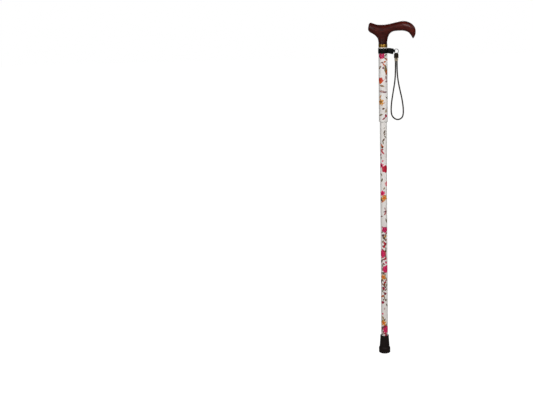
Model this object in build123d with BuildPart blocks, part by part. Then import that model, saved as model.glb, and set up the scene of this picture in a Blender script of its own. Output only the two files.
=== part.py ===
from build123d import *
from math import pi, radians, tan
import os

# A folding, height-adjustable walking cane with a derby handle and a wrist strap.
# Millimetres. +Z runs up the shaft and the origin is on the shaft's axis, at the floor.
# The handle's hook points along +X. The cane is drawn at its longest setting.

os.makedirs("parts", exist_ok=True)

# ---- shaft ---------------------------------------------------------------
UPPER_TUBE_R = 11.0
UPPER_TUBE_BORE_R = 9.9
NARROW_TUBE_R = 8.8
NARROW_TUBE_BORE_R = 7.6
RUNNING_FIT = 0.05
RIM_CHAMFER = 0.3

SECTION_LENGTH = 167.0
LOWEST_JOINT_Z = 179.0
JOINT_ZS = [LOWEST_JOINT_Z + SECTION_LENGTH * k for k in range(3)]
INNER_TUBE_TOP_Z = JOINT_ZS[2] + SECTION_LENGTH
TIP_TUBE_BOTTOM_Z = 9.5

UPPER_TUBE_BOTTOM_Z = 622.0
UPPER_TUBE_TOP_Z = 806.0
COLLAR_TOP_Z = 814.0

# ---- height adjustment ---------------------------------------------------
HOLE_COUNT = 7
HOLE_PITCH = 15.0
LOWEST_HOLE_Z = 660.0
HOLE_R = 3.2
BUTTON_R = 3.0
BUTTON_TOP_Y = 12.2
BUTTON_ROUND = 1.2
BUTTON_FLANGE_R = 4.2
BUTTON_FLANGE_Y = (4.9, 6.2)
SPRING_LEAF = 0.6
SPRING_WIDTH = 6.0
SPRING_LEG_BOTTOM_Z = 648.0
SPRING_BEND_Z = 668.0
SPRING_FRONT_Y = BUTTON_FLANGE_Y[0] - SPRING_LEAF / 2
SPRING_BACK_Y = -6.6

BUSH_LIP_HEIGHT = 3.0
BUSH_LIP_ROUND = 1.2
BUSH_SLEEVE_LENGTH = 20.0
TOP_BUSH_LENGTH = 8.0
TOP_BUSH_CAP = 1.5
TOP_BUSH_CAP_BORE_R = 6.0

# ---- fold joints and the elastic cord that pulls them shut ---------------
SPIGOT_BORE_R = 5.5
SPIGOT_FIXED_LENGTH = 30.0
SPIGOT_FREE_LENGTH = 35.0
SPIGOT_LEAD_IN = 1.2
ELASTIC_R = 2.0
ELASTIC_BORE_R = 2.2
STOP_R = 3.6
STOP_LENGTH = 6.0
STOP_ROUND = 1.0
UPPER_PLUG_Z = (624.0, 640.0)
LOWER_PLUG_Z = (30.0, 44.0)
ANCHOR_PIN_R = 1.2
ANCHOR_PIN_X = 5.0
ANCHOR_PIN_LENGTH = 12.4

# ---- handle --------------------------------------------------------------
NECK_R = 10.9
STUD_R = 4.0
STUD_LENGTH = 26.0
STEM_BOTTOM_Z = 783.0
STEM_LEAD_IN = 1.0
STEM_BORE_R = 6.0
STEM_BORE_DEPTH = 24.0
STEM_PIN_R = 1.5
STEM_PIN_Z = 797.0
STEM_PIN_LENGTH = 21.6
COLLAR_R = 11.15
COLLAR_ROUND = 0.8

# The grip's cross-sections from the nose to the tip of the hook: the top edge's
# (x, height over the collar), the underside's, and the half width.
GRIP_SECTIONS = [
    ((-35.8, 48.6), (-37.3, 37.0), 6.5),
    ((-30.6, 54.2), (-31.2, 28.6), 10.0),
    ((-19.0, 50.0), (-21.5, 23.6), 11.5),
    ((-4.0, 48.0), (-8.0, 16.5), 12.5),
    ((12.0, 49.2), (14.5, 20.5), 13.0),
    ((28.0, 52.4), (29.0, 30.0), 13.0),
    ((45.0, 55.7), (43.7, 31.9), 12.5),
    ((60.0, 54.0), (55.5, 30.4), 11.5),
    ((72.5, 47.2), (64.0, 26.2), 10.0),
    ((79.4, 37.6), (69.0, 20.4), 8.0),
    ((81.2, 26.5), (71.9, 15.4), 5.5),
    ((77.2, 14.8), (73.3, 11.4), 2.2),
]
# The neck's cross-sections: height over the collar, lowest x, highest x, half width.
NECK_SECTIONS = [
    (0.0, -NECK_R, NECK_R, NECK_R),
    (8.0, -11.3, 11.0, 10.9),
    (14.0, -12.6, 11.8, 11.1),
    (19.0, -16.2, 13.4, 11.5),
    (24.0, -21.0, 16.8, 11.8),
    (30.0, -24.0, 23.4, 11.8),
]

# ---- rubber tip ----------------------------------------------------------
TIP_HEIGHT = 48.4
TIP_FLANGE_R = 15.2
TIP_FLANGE_TOP_Z = 15.5
TIP_SHOULDER = 2.0
TIP_FOOT_IN = 0.6
TIP_FOOT_UP = 1.8
TIP_BODY_R = 13.1
TIP_RIM_R = 11.2
TIP_RIM_ROUND = 0.8
TIP_FLOOR = 8.0
TREAD_DEPTH = 1.2
TREAD_GROOVES = [(4.0, 5.5), (7.5, 9.0), (11.0, 12.5)]
WASHER_R = 8.5
WASHER_HOLE_R = 2.5

# ---- wrist strap ---------------------------------------------------------
LEATHER = 0.9
BAND_INNER_R = UPPER_TUBE_R + 0.1
BAND_Z = (791.0, 803.4)
# The tail hangs a little lower towards the ring: x, drop of its top, drop of its bottom.
TAIL_BEND = (18.0, 0.2, 0.3)
TAIL_END = (24.8, 1.8, 2.0)
LOOP_JOIN = 2.0
BAND_LOOP_BORE_R = 2.1
BAND_LOOP_R = 3.0
BAND_LOOP_X = 27.6
BAND_LOOP_Z = (793.2, 799.15)
STITCH_R = 0.25
STITCH_OUT = 0.25
STITCH_XS = [16.0, 18.5, 21.0]
STITCH_ZS = [793.5, 796.8, 800.1]

RING_R = 5.5
RING_WIRE_R = 0.75
RING_X = 32.85
RING_Z = 795.75

SLEEVE_LOOP_Z = 790.5
SLEEVE_LOOP_BORE_R = 1.6
SLEEVE_LOOP_R = 2.4
SLEEVE_LOOP_WIDTH = 6.0
SLEEVE_WIDTH = 10.2
SLEEVE_THICKNESS = 4.0
SLEEVE_CORNER_R = 1.6
SLEEVE_Z = (779.0, 788.0)
FERRULE_WIDTH = 9.0
FERRULE_THICKNESS = 5.0
FERRULE_CORNER_R = 2.2
FERRULE_BOTTOM_Z = 771.0
CRIMP_DEPTH = 0.35
CRIMP_HEIGHT = 1.2
CRIMP_BOTTOMS = (1.8, 5.0)

CORD_R = 1.8
CORD_BEND_SHARE = 0.45
# The wrist loop's route, down from the ferrule, round, and back up into it.
CORD_ROUTE = [
    (31.0, 0.0, 771.0),
    (31.0, 0.0, 748.0),
    (29.6, -0.8, 722.0),
    (24.6, -1.6, 693.0),
    (19.9, -1.8, 663.0),
    (19.7, -1.2, 639.5),
    (25.0, -0.6, 629.5),
    (33.5, -0.1, 624.2),
    (42.8, 0.4, 625.4),
    (49.6, 0.9, 632.6),
    (50.6, 1.5, 650.0),
    (47.0, 1.9, 677.0),
    (40.6, 1.3, 704.0),
    (36.2, 0.5, 729.0),
    (34.7, 0.0, 751.0),
    (34.7, 0.0, 771.0),
]


def turn(profile):
    """Turn a closed profile of (radius, height) corners about the shaft's axis."""
    with BuildSketch(Plane.XZ) as section:
        with BuildLine():
            Polyline(profile, close=True)
        make_face()
    revolve(section.sketch, axis=Axis.Z)


def turn_sleeve(inner_r, outer_r, bottom_z, top_z):
    """Turn a plain sleeve."""
    turn([(inner_r, bottom_z), (outer_r, bottom_z), (outer_r, top_z), (inner_r, top_z)])


def rims(piece, radius):
    """The circular edges of a piece that have the given radius."""
    circles = piece.edges().filter_by(GeomType.CIRCLE)
    return circles.filter_by(lambda rim: abs(rim.radius - radius) < 0.01)


def turn_shaft_tube(piece, bottom_z, top_z):
    """Turn one narrow length of the folding shaft, its outer rims slightly broken."""
    turn_sleeve(NARROW_TUBE_BORE_R, NARROW_TUBE_R, bottom_z, top_z)
    chamfer(rims(piece, NARROW_TUBE_R), RIM_CHAMFER)


def turn_cord_stop(piece, bottom_z):
    """Turn the crimped stop that holds the elastic cord's end against its plug."""
    turn_sleeve(ELASTIC_R, STOP_R, bottom_z, bottom_z + STOP_LENGTH)
    fillet(rims(piece, STOP_R), STOP_ROUND)


def cross_pin_sketch(x, z, radius):
    """A pin's round section in the plane through the shaft's axis that faces -Y."""
    with BuildSketch(Plane.XZ) as section:
        with Locations((x, z)):
            Circle(radius)
    return section.sketch


def section_plane(upper, lower):
    """The plane across the grip through two (x, height) points, facing the hook."""
    (upper_x, upper_h), (lower_x, lower_h) = upper, lower
    middle = ((upper_x + lower_x) / 2, 0, COLLAR_TOP_Z + (upper_h + lower_h) / 2)
    rise = (upper_x - lower_x, 0, upper_h - lower_h)
    return Plane(origin=middle, x_dir=rise, z_dir=(rise[2], 0, -rise[0]))


# ---- handle --------------------------------------------------------------
with BuildPart() as handle:
    for upper, lower, half_width in GRIP_SECTIONS:
        with BuildSketch(section_plane(upper, lower)):
            Ellipse((Vector(*upper) - Vector(*lower)).length / 2, half_width)
    loft()
    for height, low_x, high_x, half_width in NECK_SECTIONS:
        with BuildSketch(Plane.XY.offset(COLLAR_TOP_Z + height)):
            with Locations(((low_x + high_x) / 2, 0)):
                Ellipse((high_x - low_x) / 2, half_width)
    loft()
    with BuildSketch(Plane.XY.offset(COLLAR_TOP_Z)):
        Circle(STUD_R)
    extrude(amount=STUD_LENGTH, mode=Mode.SUBTRACT)

with BuildPart() as handle_stem:
    turn([
        (STEM_BORE_R, STEM_BOTTOM_Z),
        (UPPER_TUBE_BORE_R - STEM_LEAD_IN, STEM_BOTTOM_Z),
        (UPPER_TUBE_BORE_R, STEM_BOTTOM_Z + STEM_LEAD_IN),
        (UPPER_TUBE_BORE_R, COLLAR_TOP_Z),
        (STUD_R, COLLAR_TOP_Z),
        (STUD_R, COLLAR_TOP_Z + STUD_LENGTH),
        (0, COLLAR_TOP_Z + STUD_LENGTH),
        (0, STEM_BOTTOM_Z + STEM_BORE_DEPTH),
        (STEM_BORE_R, STEM_BOTTOM_Z + STEM_BORE_DEPTH),
    ])
    stem_pin_hole = cross_pin_sketch(0, STEM_PIN_Z, STEM_PIN_R)
    extrude(stem_pin_hole, amount=UPPER_TUBE_R, both=True, mode=Mode.SUBTRACT)

with BuildPart() as stem_pin:
    extrude(stem_pin_hole, amount=STEM_PIN_LENGTH / 2, both=True)

with BuildPart() as gold_collar:
    turn_sleeve(UPPER_TUBE_BORE_R, COLLAR_R, UPPER_TUBE_TOP_Z, COLLAR_TOP_Z)
    fillet(rims(gold_collar, COLLAR_R), COLLAR_ROUND)

# ---- upper tube ----------------------------------------------------------
with BuildPart() as upper_tube:
    turn_sleeve(UPPER_TUBE_BORE_R, UPPER_TUBE_R, UPPER_TUBE_BOTTOM_Z, UPPER_TUBE_TOP_Z)
    with BuildSketch(Plane.XZ):
        for k in range(HOLE_COUNT):
            with Locations((0, LOWEST_HOLE_Z + HOLE_PITCH * k)):
                Circle(HOLE_R)
    extrude(amount=-2 * UPPER_TUBE_R, mode=Mode.SUBTRACT)
    extrude(stem_pin_hole, amount=2 * UPPER_TUBE_R, both=True, mode=Mode.SUBTRACT)

with BuildPart() as upper_tube_bush:
    guide_r = NARROW_TUBE_R + RUNNING_FIT
    turn([
        (guide_r, UPPER_TUBE_BOTTOM_Z - BUSH_LIP_HEIGHT),
        (UPPER_TUBE_R, UPPER_TUBE_BOTTOM_Z - BUSH_LIP_HEIGHT),
        (UPPER_TUBE_R, UPPER_TUBE_BOTTOM_Z),
        (UPPER_TUBE_BORE_R, UPPER_TUBE_BOTTOM_Z),
        (UPPER_TUBE_BORE_R, UPPER_TUBE_BOTTOM_Z + BUSH_SLEEVE_LENGTH),
        (guide_r, UPPER_TUBE_BOTTOM_Z + BUSH_SLEEVE_LENGTH),
    ])
    fillet(rims(upper_tube_bush, UPPER_TUBE_R).sort_by(Axis.Z)[0], BUSH_LIP_ROUND)

# ---- inner tube and its button -------------------------------------------
anchor_pin_hole = cross_pin_sketch(ANCHOR_PIN_X, sum(UPPER_PLUG_Z) / 2, ANCHOR_PIN_R)

with BuildPart() as inner_tube:
    turn_shaft_tube(inner_tube, JOINT_ZS[2], INNER_TUBE_TOP_Z)
    with BuildSketch(Plane.XZ):
        with Locations((0, LOWEST_HOLE_Z)):
            Circle(BUTTON_R + 2 * RUNNING_FIT)
    extrude(amount=-2 * NARROW_TUBE_R, mode=Mode.SUBTRACT)
    extrude(anchor_pin_hole, amount=2 * NARROW_TUBE_R, both=True, mode=Mode.SUBTRACT)

with BuildPart() as inner_top_bush:
    guide_r = UPPER_TUBE_BORE_R - RUNNING_FIT
    turn([
        (NARROW_TUBE_R, INNER_TUBE_TOP_Z - TOP_BUSH_LENGTH),
        (guide_r, INNER_TUBE_TOP_Z - TOP_BUSH_LENGTH),
        (guide_r, INNER_TUBE_TOP_Z + TOP_BUSH_CAP),
        (TOP_BUSH_CAP_BORE_R, INNER_TUBE_TOP_Z + TOP_BUSH_CAP),
        (TOP_BUSH_CAP_BORE_R, INNER_TUBE_TOP_Z),
        (NARROW_TUBE_R, INNER_TUBE_TOP_Z),
    ])

with BuildPart() as snap_button:
    with BuildSketch(Plane.XZ.offset(-BUTTON_FLANGE_Y[0])):
        with Locations((0, LOWEST_HOLE_Z)):
            Circle(BUTTON_FLANGE_R)
    extrude(amount=BUTTON_FLANGE_Y[0] - BUTTON_FLANGE_Y[1])
    with BuildSketch(Plane.XZ.offset(-BUTTON_FLANGE_Y[1])):
        with Locations((0, LOWEST_HOLE_Z)):
            Circle(BUTTON_R)
    extrude(amount=BUTTON_FLANGE_Y[1] - BUTTON_TOP_Y)
    fillet(snap_button.faces().sort_by(Axis.Y)[-1].edges(), BUTTON_ROUND)

with BuildPart() as button_spring:
    with BuildSketch(Plane.YZ):
        with BuildLine():
            back_leg = Line((SPRING_BACK_Y, SPRING_LEG_BOTTOM_Z), (SPRING_BACK_Y, SPRING_BEND_Z))
            bend = TangentArc(
                (SPRING_BACK_Y, SPRING_BEND_Z), (SPRING_FRONT_Y, SPRING_BEND_Z), tangent=(0, 1)
            )
            front_leg = Line((SPRING_FRONT_Y, SPRING_BEND_Z), (SPRING_FRONT_Y, SPRING_LEG_BOTTOM_Z))
        trace(line_width=SPRING_LEAF)
    extrude(amount=SPRING_WIDTH / 2, both=True)

# ---- folding sections ----------------------------------------------------
with BuildPart() as section_2_tube:
    turn_shaft_tube(section_2_tube, JOINT_ZS[1], JOINT_ZS[2])

with BuildPart() as section_3_tube:
    turn_shaft_tube(section_3_tube, JOINT_ZS[0], JOINT_ZS[1])

with BuildPart() as section_4_tube:
    turn_shaft_tube(section_4_tube, TIP_TUBE_BOTTOM_Z, JOINT_ZS[0])

spigots = []
for joint_z in reversed(JOINT_ZS):
    free_r = NARROW_TUBE_BORE_R - RUNNING_FIT
    free_end_z = joint_z - SPIGOT_FREE_LENGTH
    with BuildPart() as spigot:
        turn([
            (SPIGOT_BORE_R, free_end_z),
            (free_r - SPIGOT_LEAD_IN, free_end_z),
            (free_r, free_end_z + SPIGOT_LEAD_IN),
            (free_r, joint_z),
            (NARROW_TUBE_BORE_R, joint_z),
            (NARROW_TUBE_BORE_R, joint_z + SPIGOT_FIXED_LENGTH),
            (SPIGOT_BORE_R, joint_z + SPIGOT_FIXED_LENGTH),
        ])
    spigots.append(spigot)

# ---- elastic cord --------------------------------------------------------
with BuildPart() as cord_anchor_plug:
    turn_sleeve(ELASTIC_BORE_R, NARROW_TUBE_BORE_R, *UPPER_PLUG_Z)
    extrude(anchor_pin_hole, amount=2 * NARROW_TUBE_R, both=True, mode=Mode.SUBTRACT)

with BuildPart() as anchor_pin:
    extrude(anchor_pin_hole, amount=ANCHOR_PIN_LENGTH / 2, both=True)

with BuildPart() as lower_anchor_plug:
    turn_sleeve(ELASTIC_BORE_R, NARROW_TUBE_BORE_R, *LOWER_PLUG_Z)

with BuildPart() as cord_stop_top:
    turn_cord_stop(cord_stop_top, UPPER_PLUG_Z[1])

with BuildPart() as cord_stop_bottom:
    turn_cord_stop(cord_stop_bottom, LOWER_PLUG_Z[0] - STOP_LENGTH)

with BuildPart() as elastic_cord:
    with BuildSketch(Plane.XY.offset(LOWER_PLUG_Z[0] - STOP_LENGTH)):
        Circle(ELASTIC_R)
    extrude(amount=UPPER_PLUG_Z[1] - LOWER_PLUG_Z[0] + 2 * STOP_LENGTH)

# ---- rubber tip ----------------------------------------------------------
with BuildPart() as rubber_tip:
    turn([
        (0, 0),
        (TIP_FLANGE_R - TIP_FOOT_IN, 0),
        (TIP_FLANGE_R, TIP_FOOT_UP),
        (TIP_FLANGE_R, TIP_FLANGE_TOP_Z - TIP_SHOULDER),
        (TIP_BODY_R, TIP_FLANGE_TOP_Z),
        (TIP_RIM_R, TIP_HEIGHT),
        (NARROW_TUBE_R, TIP_HEIGHT),
        (NARROW_TUBE_R, TIP_FLOOR),
        (0, TIP_FLOOR),
    ])
    fillet(rims(rubber_tip, TIP_RIM_R), TIP_RIM_ROUND)
    with BuildSketch(Plane.XY):
        for inner_r, outer_r in TREAD_GROOVES:
            Circle(outer_r)
            Circle(inner_r, mode=Mode.SUBTRACT)
    extrude(amount=TREAD_DEPTH, mode=Mode.SUBTRACT)

with BuildPart() as tip_washer:
    turn_sleeve(WASHER_HOLE_R, WASHER_R, TIP_FLOOR, TIP_TUBE_BOTTOM_Z)

# ---- wrist strap ---------------------------------------------------------
with BuildPart() as strap_band:
    with BuildSketch(Plane.XY.offset(BAND_Z[0])):
        Circle(BAND_INNER_R + LEATHER)
        Circle(BAND_INNER_R, mode=Mode.SUBTRACT)
    extrude(amount=BAND_Z[1] - BAND_Z[0])
    with BuildSketch(Plane.XZ):
        with BuildLine():
            Polyline(
                (BAND_INNER_R + LEATHER / 2, BAND_Z[1]),
                (TAIL_BEND[0], BAND_Z[1] - TAIL_BEND[1]),
                (TAIL_END[0], BAND_Z[1] - TAIL_END[1]),
                (TAIL_END[0], BAND_Z[0] - TAIL_END[2]),
                (TAIL_BEND[0], BAND_Z[0] - TAIL_BEND[2]),
                (BAND_INNER_R + LEATHER / 2, BAND_Z[0]),
                close=True,
            )
        make_face()
    extrude(amount=LEATHER, both=True)
    with BuildSketch(Plane.XY.offset(BAND_LOOP_Z[0])):
        with Locations((TAIL_END[0] + LOOP_JOIN / 4, 0)):
            Rectangle(LOOP_JOIN, 2 * LEATHER)
        with Locations((BAND_LOOP_X, 0)):
            Circle(BAND_LOOP_R)
            Circle(BAND_LOOP_BORE_R, mode=Mode.SUBTRACT)
    extrude(amount=BAND_LOOP_Z[1] - BAND_LOOP_Z[0])

with BuildPart() as band_stitching:
    with BuildSketch(Plane.XZ):
        for x in STITCH_XS:
            for z in STITCH_ZS:
                with Locations((x, z)):
                    SlotOverall(4 * STITCH_R, 2 * STITCH_R, rotation=90)
    extrude(amount=LEATHER + STITCH_OUT, both=True)

with BuildPart() as strap_ring:
    with BuildSketch(Plane.XY.offset(RING_Z)):
        with Locations((RING_X + RING_R, 0)):
            Circle(RING_WIRE_R)
    revolve(axis=Axis((RING_X, 0, RING_Z), (0, 1, 0)))

with BuildPart() as strap_sleeve:
    with BuildSketch(Plane.YZ.offset(RING_X)):
        with Locations((0, (SLEEVE_LOOP_Z - SLEEVE_LOOP_BORE_R + SLEEVE_Z[1]) / 2)):
            Rectangle(2 * LEATHER, SLEEVE_LOOP_Z - SLEEVE_LOOP_BORE_R - SLEEVE_Z[1])
        with Locations((0, SLEEVE_LOOP_Z)):
            Circle(SLEEVE_LOOP_R)
            Circle(SLEEVE_LOOP_BORE_R, mode=Mode.SUBTRACT)
    extrude(amount=SLEEVE_LOOP_WIDTH / 2, both=True)
    with BuildSketch(Plane.XY.offset(SLEEVE_Z[0])):
        with Locations((RING_X, 0)):
            RectangleRounded(SLEEVE_WIDTH, SLEEVE_THICKNESS, SLEEVE_CORNER_R)
    extrude(amount=SLEEVE_Z[1] - SLEEVE_Z[0])

with BuildPart() as strap_ferrule:
    with BuildSketch(Plane.XY.offset(FERRULE_BOTTOM_Z)):
        with Locations((RING_X, 0)):
            RectangleRounded(FERRULE_WIDTH, FERRULE_THICKNESS, FERRULE_CORNER_R)
    extrude(amount=SLEEVE_Z[0] - FERRULE_BOTTOM_Z)
    for height in CRIMP_BOTTOMS:
        with BuildSketch(Plane.XY.offset(FERRULE_BOTTOM_Z + height)):
            with Locations((RING_X, 0)):
                RectangleRounded(2 * FERRULE_WIDTH, 2 * FERRULE_THICKNESS, FERRULE_CORNER_R)
                RectangleRounded(
                    FERRULE_WIDTH - 2 * CRIMP_DEPTH,
                    FERRULE_THICKNESS - 2 * CRIMP_DEPTH,
                    FERRULE_CORNER_R - CRIMP_DEPTH,
                    mode=Mode.SUBTRACT,
                )
        extrude(amount=CRIMP_HEIGHT, mode=Mode.SUBTRACT)


def bend_radii(route):
    """The largest arc that each corner's two runs leave room for."""
    points = [Vector(*point) for point in route]
    radii = []
    for before, corner, after in zip(points, points[1:], points[2:]):
        run_in = corner - before
        run_out = after - corner
        half_turn = radians(run_in.get_angle(run_out)) / 2
        room = CORD_BEND_SHARE * min(run_in.length, run_out.length)
        radii.append(room / tan(half_turn))
    return radii


cord_radii = bend_radii(CORD_ROUTE)
with BuildPart() as wrist_cord:
    with BuildLine() as cord_path:
        FilletPolyline(*CORD_ROUTE, radius=cord_radii)
    with BuildSketch(Plane(origin=cord_path.line @ 0, z_dir=cord_path.line % 0)):
        Circle(CORD_R)
    sweep()

print("cord radii:", [round(radius, 1) for radius in cord_radii])
cord_length = sum(edge.length for edge in cord_path.edges())
print("cord length:", round(cord_length, 1))
print("cord volume over section times length:",
      round(wrist_cord.part.volume / (pi * CORD_R**2 * cord_length), 4))

pieces = {
    "handle": handle,
    "handle_stem": handle_stem,
    "stem_pin": stem_pin,
    "gold_collar": gold_collar,
    "upper_tube": upper_tube,
    "upper_tube_bush": upper_tube_bush,
    "inner_tube": inner_tube,
    "inner_top_bush": inner_top_bush,
    "snap_button": snap_button,
    "button_spring": button_spring,
    "section_2_tube": section_2_tube,
    "section_3_tube": section_3_tube,
    "section_4_tube": section_4_tube,
    "spigot_1": spigots[0],
    "spigot_2": spigots[1],
    "spigot_3": spigots[2],
    "elastic_cord": elastic_cord,
    "cord_anchor_plug": cord_anchor_plug,
    "anchor_pin": anchor_pin,
    "lower_anchor_plug": lower_anchor_plug,
    "cord_stop_top": cord_stop_top,
    "cord_stop_bottom": cord_stop_bottom,
    "rubber_tip": rubber_tip,
    "tip_washer": tip_washer,
    "strap_band": strap_band,
    "band_stitching": band_stitching,
    "strap_ring": strap_ring,
    "strap_sleeve": strap_sleeve,
    "strap_ferrule": strap_ferrule,
    "wrist_cord": wrist_cord,
}
for name, piece in pieces.items():
    piece.part.label = name
    export_step(piece.part, f"parts/{name}.step")
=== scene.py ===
from math import ceil, cos, pi, radians, sin, sqrt

import bpy
import bmesh
from mathutils import Matrix, Vector


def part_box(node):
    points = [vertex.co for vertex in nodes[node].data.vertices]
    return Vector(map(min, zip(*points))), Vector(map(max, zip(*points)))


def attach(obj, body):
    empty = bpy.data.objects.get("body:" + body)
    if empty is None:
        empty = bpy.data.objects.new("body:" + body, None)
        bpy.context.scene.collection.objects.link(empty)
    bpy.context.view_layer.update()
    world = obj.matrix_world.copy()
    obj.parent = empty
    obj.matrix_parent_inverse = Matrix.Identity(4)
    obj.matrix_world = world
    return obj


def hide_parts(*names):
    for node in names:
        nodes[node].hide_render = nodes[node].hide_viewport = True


# The looks of a folding walking cane: a derby handle in dark wood, a height-adjustable
# folding shaft with a flower print, a leather wrist strap and a rubber tip.
# Metres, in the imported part's own frame: +Z runs up the shaft, the front is -Y.

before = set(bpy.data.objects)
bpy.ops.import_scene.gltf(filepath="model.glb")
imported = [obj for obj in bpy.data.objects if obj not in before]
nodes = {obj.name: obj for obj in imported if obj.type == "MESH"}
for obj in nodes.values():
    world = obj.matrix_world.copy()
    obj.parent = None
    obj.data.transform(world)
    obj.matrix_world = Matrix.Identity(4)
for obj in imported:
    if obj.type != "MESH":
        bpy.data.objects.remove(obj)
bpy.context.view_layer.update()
mm = 0.001


# ---- places taken from the frame ------------------------------------------
def top_of(node):
    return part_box(node)[1]


def foot_of(node):
    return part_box(node)[0]


UPPER_R = top_of("upper_tube").x
NARROW_R = top_of("section_3_tube").x
UPPER_FOOT_Z = foot_of("upper_tube").z
COLLAR_TOP_Z = top_of("gold_collar").z
UPPER_WALL = 1.1 * mm
NARROW_WALL = 1.2 * mm
BAND_FOOT_Z = 791.0 * mm
BAND_TOP_Z = top_of("strap_band").z
RING_CENTRE = (foot_of("strap_ring") + top_of("strap_ring")) / 2
RING_OUTER_R = (top_of("strap_ring").x - foot_of("strap_ring").x) / 2
RING_WIRE_R = 0.75 * mm


# ---- meshes ---------------------------------------------------------------
def add_object(name, data):
    """A new object in the scene that holds a mesh, a light or a camera."""
    item = bpy.data.objects.new(name, data)
    bpy.context.scene.collection.objects.link(item)
    return item


def add_mesh(name, points, faces, sharp_angle=35):
    """A smooth-shaded object from points and faces, with its steep edges kept sharp."""
    mesh = bpy.data.meshes.new(name)
    mesh.from_pydata([tuple(point) for point in points], [], faces)
    tidy = bmesh.new()
    tidy.from_mesh(mesh)
    bmesh.ops.remove_doubles(tidy, verts=tidy.verts, dist=1e-7)
    bmesh.ops.recalc_face_normals(tidy, faces=tidy.faces)
    tidy.to_mesh(mesh)
    tidy.free()
    mesh.shade_smooth()
    mesh.set_sharp_from_angle(angle=radians(sharp_angle))
    return add_object(name, mesh)


def skin(name, rings, closed_run=False, closed_section=True, caps=True, sharp_angle=35):
    """The surface through successive rings of points, each ring with the same count."""
    count = len(rings[0])
    points = [point for ring in rings for point in ring]
    faces = []
    for i in range(len(rings) if closed_run else len(rings) - 1):
        here, there = i * count, (i + 1) % len(rings) * count
        for j in range(count if closed_section else count - 1):
            k = (j + 1) % count
            faces.append((here + j, here + k, there + k, there + j))
    if caps and not closed_run:
        for start in (0, len(points) - count):
            middle = sum((Vector(points[start + j]) for j in range(count)), Vector()) / count
            points.append(middle)
            faces += [(len(points) - 1, start + j, start + (j + 1) % count) for j in range(count)]
    return add_mesh(name, points, faces, sharp_angle)


def turns(steps):
    """The angles of a full turn in even steps."""
    return [2 * pi * i / steps for i in range(steps)]


def lathe(name, profile, steps=96, sharp_angle=35):
    """A closed profile of (radius, height) points turned about the shaft's axis."""
    rings = [[(r * cos(turn), r * sin(turn), z) for r, z in profile] for turn in turns(steps)]
    return skin(name, rings, closed_run=True, sharp_angle=sharp_angle)


def rectangle(half_wide, half_high):
    """The corners of a rectangle round the origin."""
    return [(-half_wide, -half_high), (half_wide, -half_high), (half_wide, half_high),
            (-half_wide, half_high)]


def rounded(profile, radius, steps=5):
    """A closed outline of (x, y) corners with each corner rounded to a radius."""
    result = []
    corners = [Vector(corner) for corner in profile]
    for before, corner, after in zip(corners[-1:] + corners[:-1], corners, corners[1:] + corners[:1]):
        to_before, to_after = before - corner, after - corner
        reach = min(radius, 0.45 * to_before.length, 0.45 * to_after.length)
        start = corner + to_before.normalized() * reach
        end = corner + to_after.normalized() * reach
        for i in range(steps + 1):
            t = i / steps
            result.append((1 - t) ** 2 * start + 2 * t * (1 - t) * corner + t * t * end)
    return [tuple(point) for point in result]


def part_way(value, start, length):
    """How far a value has come along a stretch, from 0 to 1."""
    return min(max((value - start) / length, 0), 1)


def spline(rows, steps, closed=False):
    """Catmull-Rom rows of numbers, with a number of steps from each row to the next."""
    rows = [list(row) for row in rows]
    last = len(rows) - 1

    def row(i):
        return rows[i % len(rows)] if closed else rows[min(max(i, 0), last)]

    result = []
    for i in range(len(rows) if closed else last):
        a, b, c, d = row(i - 1), row(i), row(i + 1), row(i + 2)
        for step in range(steps):
            t = step / steps
            result.append([
                0.5 * (2 * q + (r - p) * t + (2 * p - 5 * q + 4 * r - s) * t * t
                       + (3 * q - p - 3 * r + s) * t ** 3)
                for p, q, r, s in zip(a, b, c, d)
            ])
    if not closed:
        result.append(rows[-1])
    return result


def join_meshes(name, pieces):
    """One object that holds the meshes of several."""
    joined = bmesh.new()
    for piece in pieces:
        joined.from_mesh(piece.data)
        bpy.data.objects.remove(piece)
    mesh = bpy.data.meshes.new(name)
    joined.to_mesh(mesh)
    joined.free()
    return add_object(name, mesh)


def apply_modifiers(piece):
    """Turn a piece's modifiers into its mesh."""
    evaluated = piece.evaluated_get(bpy.context.evaluated_depsgraph_get())
    mesh = bpy.data.meshes.new_from_object(evaluated)
    piece.modifiers.clear()
    piece.data = mesh


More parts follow.
